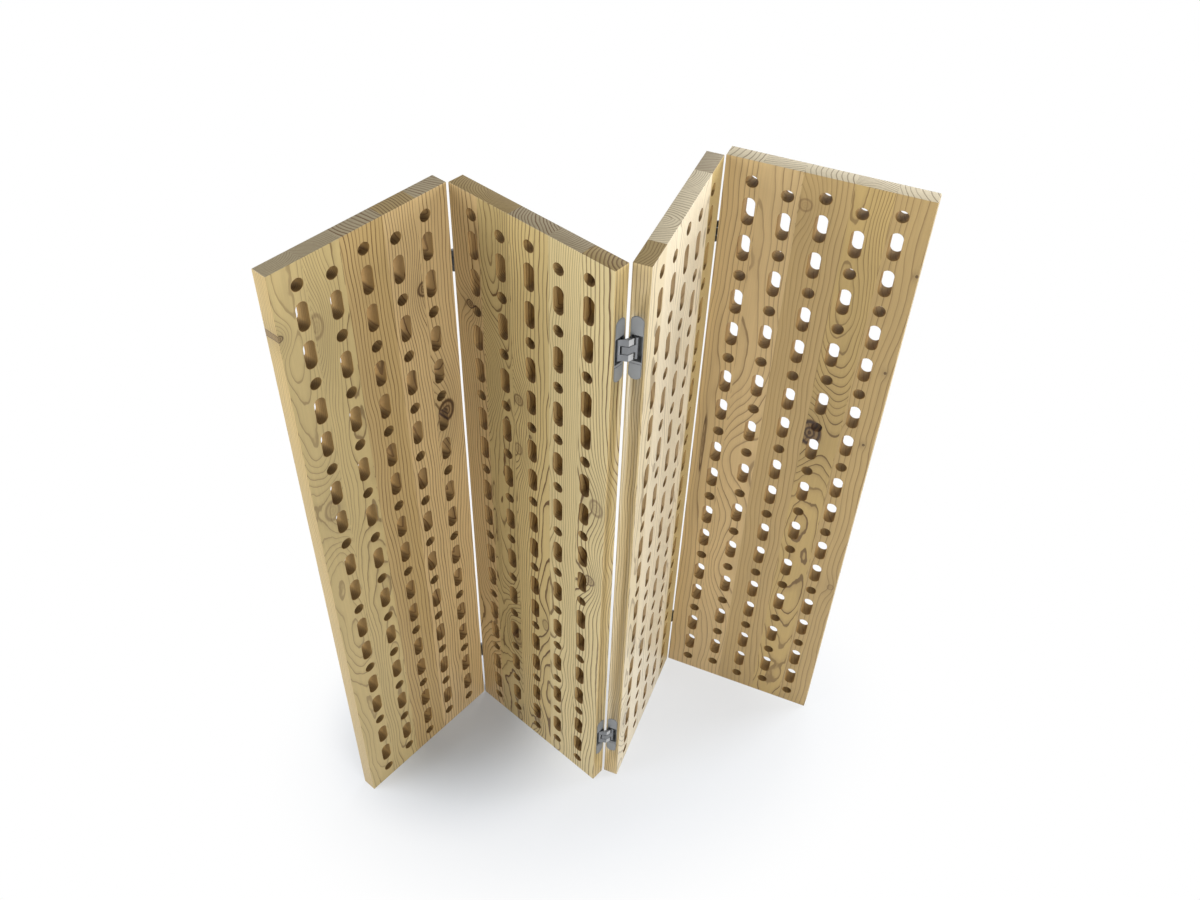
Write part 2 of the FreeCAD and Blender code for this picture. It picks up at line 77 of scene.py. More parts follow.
def panel_axes(panel):
    """Width along X, thickness to the back along Y, height along Z, from the left front bottom corner."""
    turn = Matrix.Rotation(math.radians(HEADINGS[panel]), 4, "Z")
    back = turn.inverted()
    points = [back @ vertex.co for stave in STAVES
              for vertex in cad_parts[f"panel_{panel}_stave_{stave}"].data.vertices]
    corner = Vector(min(point[axis] for point in points) for axis in range(3))
    return turn @ Matrix.Translation(corner)


def box_in_panel(node, axes):
    """Lowest and highest corner of a CAD node in a panel's axes."""
    inwards = axes.inverted()
    points = [inwards @ vertex.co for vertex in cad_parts[node].data.vertices]
    low = Vector(min(point[axis] for point in points) for axis in range(3))
    high = Vector(max(point[axis] for point in points) for axis in range(3))
    return low, high


def stave_edges(panel, axes):
    """Places of the glue lines across a panel."""
    return [box_in_panel(f"panel_{panel}_stave_{stave}", axes)[0].x for stave in STAVES[1:]]


PANEL_AXES = {panel: panel_axes(panel) for panel in PANELS}


class Wire:
    """A node's output that takes part in arithmetic: each operator adds a Math node."""

    def __init__(self, graph, socket):
        self.graph = graph
        self.socket = socket

    def maths(self, operation, *others):
        return self.graph.add("ShaderNodeMath", {"operation": operation}, dict(enumerate((self, *others))))

    def reflected(self, operation, other):
        return self.graph.add("ShaderNodeMath", {"operation": operation}, {0: other, 1: self})

    def output(self, name):
        """Another output of the same node."""
        return Wire(self.graph, self.socket.node.outputs[name])

    def __add__(self, other):
        return self.maths("ADD", other)

    def __radd__(self, other):
        return self.reflected("ADD", other)

    def __sub__(self, other):
        return self.maths("SUBTRACT", other)

    def __rsub__(self, other):
        return self.reflected("SUBTRACT", other)

    def __mul__(self, other):
        return self.maths("MULTIPLY", other)

    def __rmul__(self, other):
        return self.reflected("MULTIPLY", other)

    def __truediv__(self, other):
        return self.maths("DIVIDE", other)

    def __rtruediv__(self, other):
        return self.reflected("DIVIDE", other)

    def __abs__(self):
        return self.maths("ABSOLUTE")

    def __gt__(self, other):
        return self.maths("GREATER_THAN", other)

    def __lt__(self, other):
        return self.maths("LESS_THAN", other)


class Graph:
    """A node tree under construction."""

    def __init__(self, tree):
        self.tree = tree

    def add(self, kind, settings=None, inputs=None, output=0):
        """Add a node, set it up, give its sockets their values or links, and return one output."""
        node = self.tree.nodes.new(kind)
        for name, value in (settings or {}).items():
            if name == "stops":
                set_stops(node.color_ramp, value)
            elif name == "interpolation" and hasattr(node, "color_ramp"):
                node.color_ramp.interpolation = value
            else:
                setattr(node, name, value)
        for name, value in (inputs or {}).items():
            for one in value if isinstance(value, list) else [value]:
                if isinstance(one, Wire):
                    self.tree.links.new(one.socket, node.inputs[name])
                else:
                    node.inputs[name].default_value = one
        return Wire(self, node.outputs[output]) if node.outputs else node

    def vector(self, x=0.0, y=0.0, z=0.0):
        """Three numbers or wires as one vector."""
        return self.add("ShaderNodeCombineXYZ", inputs={"X": x, "Y": y, "Z": z})

    def scaled(self, vector, scale):
        """A vector stretched by three numbers."""
        return self.add("ShaderNodeVectorMath", {"operation": "MULTIPLY"}, {0: vector, 1: scale})

    def mix(self, share, first, second, blend="MIX"):
        """Two colours mixed."""
        return self.add("ShaderNodeMix", {"data_type": "RGBA", "blend_type": blend},
                        {0: share, 6: first, 7: second}, 2)

    def shaded(self, colour, shade):
        """A colour times a number."""
        return self.mix(1.0, colour, self.vector(shade, shade, shade), "MULTIPLY")

    def smooth(self, value, low, high):
        """A soft step from 0 at low to 1 at high."""
        return self.add("ShaderNodeMapRange", {"interpolation_type": "SMOOTHSTEP"},
                        {"Value": value, "From Min": low, "From Max": high})

    def noise(self, vector, scale, detail=2.0, roughness=0.5):
        """Noise around MIDDLE."""
        return self.add("ShaderNodeTexNoise", inputs={"Vector": vector, "Scale": scale, "Detail": detail,
                                                      "Roughness": roughness})

    def join(self, parts):
        """Several geometries as one."""
        return self.add("GeometryNodeJoinGeometry", inputs={"Geometry": parts})

    def moved(self, part, offset):
        """A geometry in another place."""
        return self.add("GeometryNodeTransform", inputs={"Geometry": part, "Translation": offset})


def fresh_graph(owner):
    """The emptied node tree of a new material or world."""
    owner.use_nodes = True
    owner.node_tree.nodes.clear()
    return Graph(owner.node_tree)


def set_stops(ramp, stops):
    """Give a colour ramp its stops: place and colour."""
    while len(ramp.elements) < len(stops):
        ramp.elements.new(1.0)
    for element, (place, colour) in zip(ramp.elements, stops):
        element.position = place
        element.color = colour


class BoardSettings(bpy.types.PropertyGroup):
    """Sizes of a perforated board"""

    width: FloatProperty(name="Width", description="Width of one board", default=0.45, unit="LENGTH")
    height: FloatProperty(name="Height", description="Height of one board", default=1.8, unit="LENGTH")
    thickness: FloatProperty(name="Thickness", description="Thickness of one board", default=0.04,
                             unit="LENGTH")
    rounding: FloatProperty(name="Rounding", description="Easing of the edges and of the rims",
                            default=0.0009, precision=5, unit="LENGTH")
    corner: FloatProperty(name="Corner", description="Radius of the board's four corners", default=0.0016,
                          precision=5, unit="LENGTH")
    hole: FloatProperty(name="Hole", description="Diameter of a round hole, and width of a slot",
                        default=0.028, precision=4, unit="LENGTH")
    slot: FloatProperty(name="Slot", description="Overall length of a slot", default=0.068, precision=4,
                        unit="LENGTH")
    column_margin: FloatProperty(name="Column Margin", description="Board side to the nearest column",
                                 default=0.063, precision=4, unit="LENGTH")
    column_pitch: FloatProperty(name="Column Pitch", description="Distance between neighbouring columns",
                                default=0.081, precision=4, unit="LENGTH")
    odd_margin: FloatProperty(name="Odd Margin", description="Board end to the first hole, odd columns",
                              default=0.05, precision=4, unit="LENGTH")
    odd_units: IntProperty(name="Odd Units", description="Repeats in an odd column", default=7, min=1)
    odd_slots: IntProperty(name="Odd Slots", description="Slots between two holes, odd columns", default=2,
                           min=1)
    even_margin: FloatProperty(name="Even Margin", description="Board end to the first hole, even columns",
                               default=0.065, precision=4, unit="LENGTH")
    even_units: IntProperty(name="Even Units", description="Repeats in an even column", default=11, min=1)
    even_slots: IntProperty(name="Even Slots", description="Slots between two holes, even columns",
                            default=1, min=1)
    wing_depth: FloatProperty(name="Wing Depth", description="Depth of a hinge flange in the wood",
                              default=0.007, precision=4, unit="LENGTH")
    cup_height: FloatProperty(name="Cup Height", description="Height of a hinge's deep middle",
                              default=0.074, precision=4, unit="LENGTH")


BOARD_INPUTS = ("width", "height", "thickness", "rounding", "corner", "hole", "slot", "column_margin",
                "column_pitch", "odd_margin", "odd_units", "odd_slots", "even_margin", "even_units",
                "even_slots")
ODD_COLUMNS = 3
EVEN_COLUMNS = 2
HOLE_SEGMENTS = 32
ROUNDING_SEGMENTS = 3
CORNER_SEGMENTS = 4
BORE = "bore"


def perforation_column(graph, sizes, hole, slot, parity, first, columns):
    """Every second column of holes and slots, as instances."""
    margin, units, slots = (sizes[f"{parity}_{part}"] for part in ("margin", "units", "slots"))
    pitch = (sizes["height"] - margin * 2) / units
    gap = (pitch - sizes["hole"] - slots * sizes["slot"]) / (slots + 1)

    def line(count, start, step):
        return graph.add("GeometryNodeMeshLine", {"mode": "OFFSET"},
                         {"Count": count, "Start Location": start, "Offset": step})

    def spread(points, instance):
        return graph.add("GeometryNodeInstanceOnPoints", inputs={"Points": points, "Instance": instance})

    holes = spread(line(units + 1, graph.vector(y=margin), graph.vector(y=pitch)), hole)
    first_slot = sizes["hole"] / 2 + gap + sizes["slot"] / 2
    run = spread(line(slots, graph.vector(y=first_slot), graph.vector(y=sizes["slot"] + gap)), slot)
    slot_runs = spread(line(units, graph.vector(y=margin), graph.vector(y=pitch)), run)
    column = graph.join([holes, slot_runs])
    start = sizes["column_margin"] + sizes["column_pitch"] * first
    return spread(line(columns, graph.vector(x=start), graph.vector(x=sizes["column_pitch"] * 2)), column)


def hole_and_slot(graph, sizes):
    """A ring of points as the hole, and the same ring drawn apart at its middle as the slot."""
    ring = graph.add("GeometryNodeCurvePrimitiveCircle", {"mode": "RADIUS"},
                     {"Resolution": HOLE_SEGMENTS, "Radius": sizes["hole"] / 2})
    hole = graph.add("GeometryNodeTransform",
                     inputs={"Geometry": ring, "Rotation": (0, 0, math.pi / HOLE_SEGMENTS)})
    place = graph.add("GeometryNodeInputPosition")
    side = graph.add("ShaderNodeSeparateXYZ", inputs={"Vector": place}, output="Y").maths("SIGN")
    apart = graph.vector(y=side * (sizes["slot"] - sizes["hole"]) / 2)
    return hole, graph.add("GeometryNodeSetPosition", inputs={"Geometry": hole, "Offset": apart})


def board_outline(graph, sizes):
    """The outline, run round against the perforations, so that the wood is on the same side of both."""
    sheet = graph.add("GeometryNodeCurvePrimitiveQuadrilateral", {"mode": "RECTANGLE"},
                      {"Width": sizes["width"], "Height": sizes["height"]})
    rounded = graph.add("GeometryNodeFilletCurve", {"mode": "POLY"},
                        {"Curve": sheet, "Count": CORNER_SEGMENTS, "Radius": sizes["corner"]})
    placed = graph.moved(rounded, graph.vector(sizes["width"] / 2, sizes["height"] / 2))
    return graph.add("GeometryNodeReverseCurve", inputs={"Curve": placed})


def wall_section(graph, sizes):
    """The section swept along each curve: eased edge, straight wall, eased edge."""
    rounding = sizes["rounding"]
    straight = sizes["thickness"] / 2 - rounding
    arcs = []
    for sign, start in ((1, math.pi / 2), (-1, math.pi)):
        arc = graph.add("GeometryNodeCurveArc", {"mode": "RADIUS"},
                        {"Resolution": ROUNDING_SEGMENTS + 1, "Radius": rounding, "Start Angle": start,
                         "Sweep Angle": math.pi / 2})
        arcs.append(graph.moved(arc, graph.vector(rounding, straight * sign)))
    wall = graph.add("GeometryNodeCurvePrimitiveLine", {"mode": "POINTS"},
                     {"Start": graph.vector(y=straight), "End": graph.vector(y=straight * -1)})
    return graph.join([*arcs, wall])


def perforated_board_tree():
    """A board lying flat, width along X and height along Y, with eased edges and perforations."""
    tree = bpy.data.node_groups.new("perforated_board", "GeometryNodeTree")
    tree.interface.new_socket("Geometry", in_out="OUTPUT", socket_type="NodeSocketGeometry")
    for name in BOARD_INPUTS:
        kind = "NodeSocketInt" if name.endswith(("units", "slots")) else "NodeSocketFloat"
        tree.interface.new_socket(name, in_out="INPUT", socket_type=kind)
    tree.interface.new_socket("timber", in_out="INPUT", socket_type="NodeSocketMaterial")
    graph = Graph(tree)
    source = graph.add("NodeGroupInput")
    sizes = {name: source.output(name) for name in BOARD_INPUTS}

    hole, slot = hole_and_slot(graph, sizes)
    columns = [perforation_column(graph, sizes, hole, slot, "odd", 0, ODD_COLUMNS),
               perforation_column(graph, sizes, hole, slot, "even", 1, EVEN_COLUMNS)]
    perforations = graph.add("GeometryNodeRealizeInstances", inputs={"Geometry": graph.join(columns)})
    outline = board_outline(graph, sizes)
    section = wall_section(graph, sizes)

    # Walls along every curve, and two faces filled between the curves' rims
    walls = []
    rims = []
    for curves, bore in ((outline, 0.0), (perforations, 1.0)):
        level = graph.add("GeometryNodeSetCurveNormal", {"mode": "Z_UP"}, {"Curve": curves})
        swept = graph.add("GeometryNodeCurveToMesh", inputs={"Curve": level, "Profile Curve": section})
        smooth = graph.add("GeometryNodeSetShadeSmooth", inputs={"Geometry": swept, "Shade Smooth": True})
        walls.append(graph.add("GeometryNodeStoreNamedAttribute", {"data_type": "FLOAT", "domain": "FACE"},
                               {"Geometry": smooth, "Name": BORE, "Value": bore}))
        normal = graph.add("GeometryNodeInputNormal")
        outwards = graph.add("ShaderNodeVectorMath", {"operation": "SCALE"},
                             {0: normal, "Scale": sizes["rounding"]})
        rims.append(graph.add("GeometryNodeSetPosition", inputs={"Geometry": level, "Offset": outwards}))
    filled = graph.add("GeometryNodeFillCurve", {"mode": "TRIANGLES"}, {"Curve": graph.join(rims)})
    flat = graph.add("GeometryNodeSetShadeSmooth", inputs={"Geometry": filled, "Shade Smooth": False})
    half = sizes["thickness"] / 2
    faces = [graph.moved(flat, graph.vector(z=half * sign)) for sign in (1, -1)]
    whole = graph.add("GeometryNodeMergeByDistance",
                      inputs={"Geometry": graph.join(walls + faces), "Distance": MERGE_DISTANCE})
    real = graph.add("GeometryNodeRealizeInstances", inputs={"Geometry": whole})
    finished = graph.add("GeometryNodeSetMaterial",
                         inputs={"Geometry": real, "Material": source.output("timber")})
    graph.add("NodeGroupOutput", inputs={"Geometry": finished})
    return tree


def set_input(modifier, name, value):
    """Set a Geometry Nodes modifier's input through its socket's identifier."""
    for item in modifier.node_group.interface.items_tree:
        if item.in_out == "INPUT" and item.name == name:
            modifier[item.identifier] = value
            return
    raise RuntimeError(f"the tree has no input named {name}")


def plain_mesh(piece, name):
    """The evaluated mesh of an object, as a new mesh of its own."""
    graph = bpy.context.evaluated_depsgraph_get()
    mesh = bpy.data.meshes.new_from_object(piece.evaluated_get(graph), depsgraph=graph)
    mesh.name = name
    return mesh


def new_piece(name, data):
    """An object at the origin, for a mesh, a lamp or a camera."""
    piece = bpy.data.objects.new(name, data)
    bpy.context.scene.collection.objects.link(piece)
    return piece


def face_outwards(mesh):
    """Merge doubles and turn every face of a closed mesh outwards."""
    shape = bmesh.new()
    shape.from_mesh(mesh)
    bmesh.ops.remove_doubles(shape, verts=shape.verts, dist=MERGE_DISTANCE)
    bmesh.ops.recalc_face_normals(shape, faces=shape.faces)
    shape.to_mesh(mesh)
    shape.free()


END_SEGMENTS = 16
MORTISE_CLEARANCE = 0.2 * MM
OVERRUN = 1 * MM


def rectangle(half_width, half_height, middle=(0.0, 0.0)):
    """The four corners of a rectangle around a place."""
    signs = ((-1, -1), (1, -1), (1, 1), (-1, 1))
    return [(middle[0] + half_width * x, middle[1] + half_height * y) for x, y in signs]


def prism(shape, outline, start, end):
    """A closed prism along X over an outline of Y and Z places."""
    rings = [[shape.verts.new((x, y, z)) for y, z in outline] for x in (start, end)]
    shape.faces.new(rings[0])
    shape.faces.new(reversed(rings[1]))
    count = len(outline)
    for index in range(count):
        after = (index + 1) % count
        shape.faces.new((rings[0][after], rings[0][index], rings[1][index], rings[1][after]))


def round_ended(middle, half_width, half_straight):
    """Outline of a hinge flange: two straight sides and two round ends."""
    outline = []
    for end in (1, -1):
        for step in range(END_SEGMENTS + 1):
            angle = math.pi * step / END_SEGMENTS + (0 if end == 1 else math.pi)
            outline.append((middle.y + half_width * math.cos(angle),
                            middle.z + half_straight * end + half_width * math.sin(angle)))
    return outline


def housings_of(panel):
    """The hinge housings let into a panel's two edges."""
    names = []
    for fold, side in ((panel - 1, "right"), (panel, "left")):
        if fold in FOLDS:
            names += [f"fold_{fold}_{level}_{side}_housing" for level in LEVELS]
    return names


def mortise_cutters(panel, sizes):
    """Two meshes in the panel's axes: the flanges' room and the cups' room."""
    flanges = bmesh.new()
    cups = bmesh.new()
    for node in housings_of(panel):
        low, high = box_in_panel(node, PANEL_AXES[panel])
        middle = (low + high) / 2
        half_width = (high.y - low.y) / 2 + MORTISE_CLEARANCE
        half_straight = (high.z - low.z) / 2 + MORTISE_CLEARANCE - half_width
        half_cup = sizes.cup_height / 2 + MORTISE_CLEARANCE
        on_left = middle.x < sizes.width / 2
        edge = -OVERRUN if on_left else sizes.width + OVERRUN
        wing_end = sizes.wing_depth if on_left else sizes.width - sizes.wing_depth
        cup_end = high.x + MORTISE_CLEARANCE if on_left else low.x - MORTISE_CLEARANCE
        prism(flanges, round_ended(middle, half_width, half_straight), edge, wing_end)
        prism(cups, rectangle(half_width, half_cup, middle.yz), edge, cup_end)
    meshes = []
    for name, shape in (("flange_room", flanges), ("cup_room", cups)):
        bmesh.ops.recalc_face_normals(shape, faces=shape.faces)
        mesh = bpy.data.meshes.new(f"panel_{panel}_{name}")
        shape.to_mesh(mesh)
        shape.free()
        meshes.append(mesh)
    return meshes


def build_board(panel, tree, timber, sizes):
    """One board: perforated by the tree, mortised for its hinges, stood in its place."""
    name = f"panel_{panel}_board"
    blank = new_piece(name + "_blank", bpy.data.meshes.new(name + "_blank"))
    modifier = blank.modifiers.new("perforations", "NODES")
    modifier.node_group = tree
    for size in BOARD_INPUTS:
        set_input(modifier, size, getattr(sizes, size))
    set_input(modifier, "timber", timber)
    mesh = plain_mesh(blank, name)
    blank.modifiers.remove(modifier)
    mesh.transform(Matrix.Translation((0, sizes.thickness / 2, 0)) @ Matrix.Rotation(math.pi / 2, 4, "X"))
    face_outwards(mesh)
    blank.data = mesh
    cutters = [new_piece(cutter.name, cutter) for cutter in mortise_cutters(panel, sizes)]
    for cutter in cutters:
        mortise = blank.modifiers.new(cutter.name, "BOOLEAN")
        mortise.operation = "DIFFERENCE"
        mortise.solver = "EXACT"
        mortise.object = cutter
    finished = plain_mesh(blank, name)
    for spare in (blank, *cutters):
        bpy.data.objects.remove(spare)
    finished.transform(PANEL_AXES[panel])
    board = new_piece(name, finished)
    board.data.materials.clear()
    board.data.materials.append(timber)
    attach(board, f"panel_{panel}")
    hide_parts(*(f"panel_{panel}_stave_{stave}" for stave in STAVES))


class TimberSettings(bpy.types.PropertyGroup):
    """Colours and grain of the softwood"""

    straw: FloatVectorProperty(name="Straw", description="Yellow staves", subtype="COLOR", size=4,
                               default=srgb(200, 178, 123))
    olive: FloatVectorProperty(name="Olive", description="Greenish staves", subtype="COLOR", size=4,
                               default=srgb(187, 166, 114))
    cream: FloatVectorProperty(name="Cream", description="Pale staves", subtype="COLOR", size=4,
                               default=srgb(210, 192, 142))
    rose: FloatVectorProperty(name="Rose", description="Pinkish staves", subtype="COLOR", size=4,
                              default=srgb(195, 168, 120))
    honey: FloatVectorProperty(name="Honey", description="Warm yellow staves", subtype="COLOR", size=4,
                               default=srgb(183, 156, 99))
    tan: FloatVectorProperty(name="Tan", description="Darker pinkish staves", subtype="COLOR", size=4,
                             default=srgb(178, 151, 100))
    # The next two tints are paler than the wood itself: painted sheen, standing for the grazing sheen and
    # even light on the third panel's face; only its first four staves use them
    ivory: FloatVectorProperty(name="Ivory And Sheen", description="Very pale staves", subtype="COLOR", size=4,
                               default=srgb(225, 211, 179))
    sapwood: FloatVectorProperty(name="Pale And Sheen", description="Palest staves", subtype="COLOR", size=4,
                                 default=srgb(239, 227, 200))
    latewood: FloatVectorProperty(name="Latewood", description="Dark line that ends a growth ring",
                                  subtype="COLOR", size=4, default=srgb(96, 67, 32))
    knot: FloatVectorProperty(name="Knot", description="Heart of a knot", subtype="COLOR", size=4,
                              default=srgb(104, 66, 30))
    grey_end: FloatVectorProperty(name="Grey End", description="Sawn ends of weathered staves",
                                  subtype="COLOR", size=4, default=srgb(162, 149, 120))
    olive_end: FloatVectorProperty(name="Olive End", description="Sawn ends of resinous staves",
                                   subtype="COLOR", size=4, default=srgb(160, 138, 90))
    pale_end: FloatVectorProperty(name="Pale End", description="Sawn ends of pale staves",
                                  subtype="COLOR", size=4, default=srgb(214, 201, 170))
    # Painted shade: end grain inside the holes is darker than the sawn ends outside, partly as oiled end
    # grain and partly as painted shade of the deep bores
    sunk_grain_and_shade: FloatVectorProperty(name="Sunk End Grain And Shade", description="End grain in the holes and slots",
                                    subtype="COLOR", size=4, default=srgb(106, 82, 42))
    side_grain: FloatVectorProperty(name="Side Grain", description="Long edges of the boards",
                                    subtype="COLOR", size=4, default=srgb(197, 170, 111))
    # Painted shade: walls of the holes are a deeper brown than the faces, partly the cut wood's own colour
    # and partly painted shade of the holes
    bored_and_shade: FloatVectorProperty(name="Bored Wall And Shade", description="Side walls of the holes and slots",
                               subtype="COLOR", size=4, default=srgb(158, 121, 63))
    roughness: FloatProperty(name="Roughness", description="Roughness of the oiled surface", default=0.4,
                             min=0.0, max=1.0, subtype="FACTOR")


class Stave(NamedTuple):
    """One stave's wood: its tints, where the heart of its tree lay, and its growth rings."""

    tint: str
    end: str
    heart_across: float
    heart_depth: float
    lean: float
    ring_width: float
    late_share: float
    contrast: float


# From each panel's left edge to its right
STAVE_WOOD = {
    1: (Stave("olive", "grey_end", 0.040, 0.085, 0.018, 0.0050, 0.06, 0.62),
        Stave("olive", "grey_end", 0.150, 0.0725, -0.012, 0.0050, 0.08, 0.78),
        Stave("tan", "grey_end", 0.330, 0.040, 0.016, 0.0090, 0.13, 0.85),
        Stave("rose", "olive_end", 0.220, 0.050, 0.030, 0.0080, 0.13, 1.05),
        Stave("rose", "grey_end", 0.500, 0.050, -0.016, 0.0080, 0.12, 0.90)),
    2: (Stave("rose", "olive_end", 0.100, 0.075, 0.010, 0.0055, 0.10, 1.05),
        Stave("olive", "olive_end", 0.125, 0.085, 0.022, 0.0038, 0.10, 1.10),
        Stave("straw", "grey_end", 0.300, 0.080, -0.024, 0.0065, 0.13, 1.00),
        Stave("cream", "grey_end", 0.270, 0.070, 0.030, 0.0055, 0.10, 0.85),
        Stave("cream", "olive_end", 0.490, 0.070, 0.014, 0.0080, 0.14, 1.10)),
    # The third panel's first four staves take the two tints with painted sheen
    3: (Stave("ivory", "olive_end", 0.030, 0.085, -0.014, 0.0060, 0.12, 0.55),
        Stave("sapwood", "pale_end", 0.200, 0.070, 0.016, 0.0070, 0.12, 0.50),
        Stave("sapwood", "pale_end", 0.150, 0.050, 0.010, 0.0090, 0.12, 0.50),
        Stave("sapwood", "pale_end", 0.330, 0.090, -0.018, 0.0050, 0.12, 0.50),
        Stave("straw", "grey_end", 0.500, 0.060, 0.010, 0.0070, 0.12, 0.65)),
    4: (Stave("rose", "pale_end", -0.120, 0.080, 0.016, 0.0110, 0.07, 0.68),
        Stave("rose", "pale_end", 0.060, 0.085, -0.020, 0.0090, 0.07, 0.70),
        Stave("tan", "pale_end", 0.360, 0.060, 0.014, 0.0110, 0.07, 0.62),
        Stave("honey", "pale_end", 0.315, 0.0826, 0.024, 0.0052, 0.08, 0.90),
        Stave("tan", "pale_end", 0.560, 0.090, -0.014, 0.0120, 0.06, 0.60)),
}


class Knot(NamedTuple):
    """A knot, streak or swirl: place across and up, half its width, height over width, darkness."""

    across: float
    up: float
    size: float
    stretch: float
    darkness: float


KNOTS = {
    1: (Knot(0.001, 1.655, 0.009, 0.8, 0.70), Knot(0.364, 1.580, 0.014, 1.2, 0.80),
        Knot(0.399, 1.213, 0.021, 1.4, 0.90), Knot(0.043, 1.147, 0.018, 1.5, 0.25),
        Knot(0.088, 1.637, 0.015, 1.8, 0.22)),
    2: (Knot(0.085, 1.360, 0.020, 1.4, 0.0), Knot(0.080, 0.420, 0.022, 1.5, 0.0),
        Knot(0.043, 1.516, 0.010, 1.0, 0.85), Knot(0.185, 1.323, 0.013, 1.1, 0.45),
        Knot(0.180, 1.168, 0.011, 1.5, 0.35), Knot(0.220, 1.232, 0.004, 1.2, 0.80),
        Knot(0.423, 1.141, 0.018, 1.3, 0.30), Knot(0.412, 0.879, 0.014, 1.1, 0.50),
        Knot(0.262, 0.568, 0.011, 1.9, 0.35), Knot(0.155, 0.423, 0.018, 1.8, 0.50),
        Knot(0.092, 0.830, 0.003, 16.0, 0.45), Knot(0.225, 0.075, 0.009, 1.6, 0.45)),
    3: (Knot(0.225, 1.452, 0.011, 1.6, 0.30), Knot(0.118, 1.168, 0.007, 1.5, 0.50),
        Knot(0.128, 0.477, 0.009, 1.3, 0.65), Knot(0.075, 0.557, 0.010, 1.3, 0.55),
        Knot(0.037, 0.241, 0.013, 1.6, 0.40)),
    4: (Knot(0.105, 0.930, 0.022, 1.6, 0.0), Knot(0.115, 0.520, 0.018, 1.8, 0.0),
        Knot(0.293, 1.105, 0.024, 1.5, 1.00), Knot(0.436, 0.573, 0.008, 1.2, 0.25),
        Knot(0.185, 1.725, 0.014, 1.0, 0.20), Knot(0.026, 0.960, 0.004, 22.0, 0.70),
        Knot(0.446, 1.618, 0.0028, 1.2, 0.95), Knot(0.433, 1.345, 0.0028, 1.2, 0.95),
        Knot(0.380, 1.179, 0.0040, 1.2, 0.95), Knot(0.426, 1.114, 0.0028, 1.2, 0.95)),
}


class Pattern(NamedTuple):
    """A noise along the grain: repeats a metre across and along it, detail, reach and roughness."""

    across: float
    along: float
    detail: float
    reach: float
    roughness: float = 0.5


# Drifts of the growth rings, with their reach in metres
SLOW_DRIFT = Pattern(4.5, 1.6, 1.0, 0.050)
WAVY_DRIFT = Pattern(12.0, 5.0, 1.0, 0.022)
FINE_DRIFT = Pattern(40.0, 15.0, 2.0, 0.0032)
# Changes of shade, with their reach in shares of the colour
FIBRES = Pattern(700.0, 8.0, 3.0, 0.24, 0.6)
STREAKS = Pattern(170.0, 3.0, 2.0, 0.20)
CLOUDS = Pattern(12.0, 2.5, 3.0, 0.20)
# A ramp holds the rings' widths in centimetres, to stay near 1
CENTIMETRE = 0.01
# A stave's number grows by 1 from stave to stave, and by this from panel to panel
PANEL_STEP = 7.0
# Steps through the noises and through the years for each number
STAVE_STEPS = (1.7, 2.3, 3.1)
YEAR_STEP = 31
# Height at which a leaning heart is where its stave says
LEAN_HEIGHT = 0.9
# A knot, in shares of its size: its core fades outwards, and its rim is darkest at 1
CORE_FADE = (1.2, 0.5)
RIM_FADE = (0.35, 0.05)
# Rings in the core: radians of their wave over the knot's size, and the wave's swing
CORE_RING_RATE = 17
CORE_RING_SWING = 0.22
# A pale knot's rim and halo fade less than its core
FAINT_POWER = 0.6
HALO_SHARE = 0.42
# The grain swells around a knot: how fast that falls off, less so along the grain, and how far it goes
SWELL_FALL = 0.10
SWELL_ALONG = 0.4
SWELL_REACH = 2.4
# How much of a drift shakes a knot's outline: at most, and for each metre of its size
FINE_SHAKE = (1.5, 150)
WAVY_SHAKE = (0.45, 18)
# A growth ring, in shares of its width: where its dark line starts to end, and how softly that line begins
RING_END = 0.95
LINE_SOFTNESS = 0.10
# The shade before the dark line: where it rises, and its depth
SHADE_RISE = (0.45, 0.88)
SHADE_DEPTH = 0.26
# Where the wood is cut across, the dark band is this many times as wide
BAND_SPREAD = 4
# How squarely a face looks up or sideways to count as an end or an edge, and as an end inside a bore
SQUARE_FADE = (0.6, 0.8)
SUNK_FADE = (0.2, 0.9)
# Strength of the dark lines on cut ends, with the stave's contrast there, and on long edges
END_LINES = 0.35
END_CONTRAST = 0.6
EDGE_LINES = 0.8
# Their strength in the faintest year, outside the clouds of colour, and how much a cloud adds
FAINT_YEAR = 0.6
FAINT_CLOUD = 0.75
CLOUD_LINES = 0.5
# Shares of the colours of edges, bores and knots over a stave's tint
EDGE_SHARE = 0.75
BORED_SHARE = 0.75
SUNK_SHARE = 0.85
STAIN_SHARE = 0.92
# How much a knot's stain and its halo darken the wood
STAIN_DEPTH = 0.75
HALO_DEPTH = 0.5
# What fibres, late wood, sawn ends and bored walls add to the roughness
FIBRE_ROUGHNESS = 0.14
LATE_ROUGHNESS = 0.05
END_ROUGHNESS = 0.25
BORED_ROUGHNESS = 0.45
# Relief of the fibres and of the hard late wood, and how it shows
FIBRE_RELIEF = 0.35
LATE_RELIEF = 0.65
RELIEF_STRENGTH = 0.12
RELIEF_DEPTH = 0.6 * MM


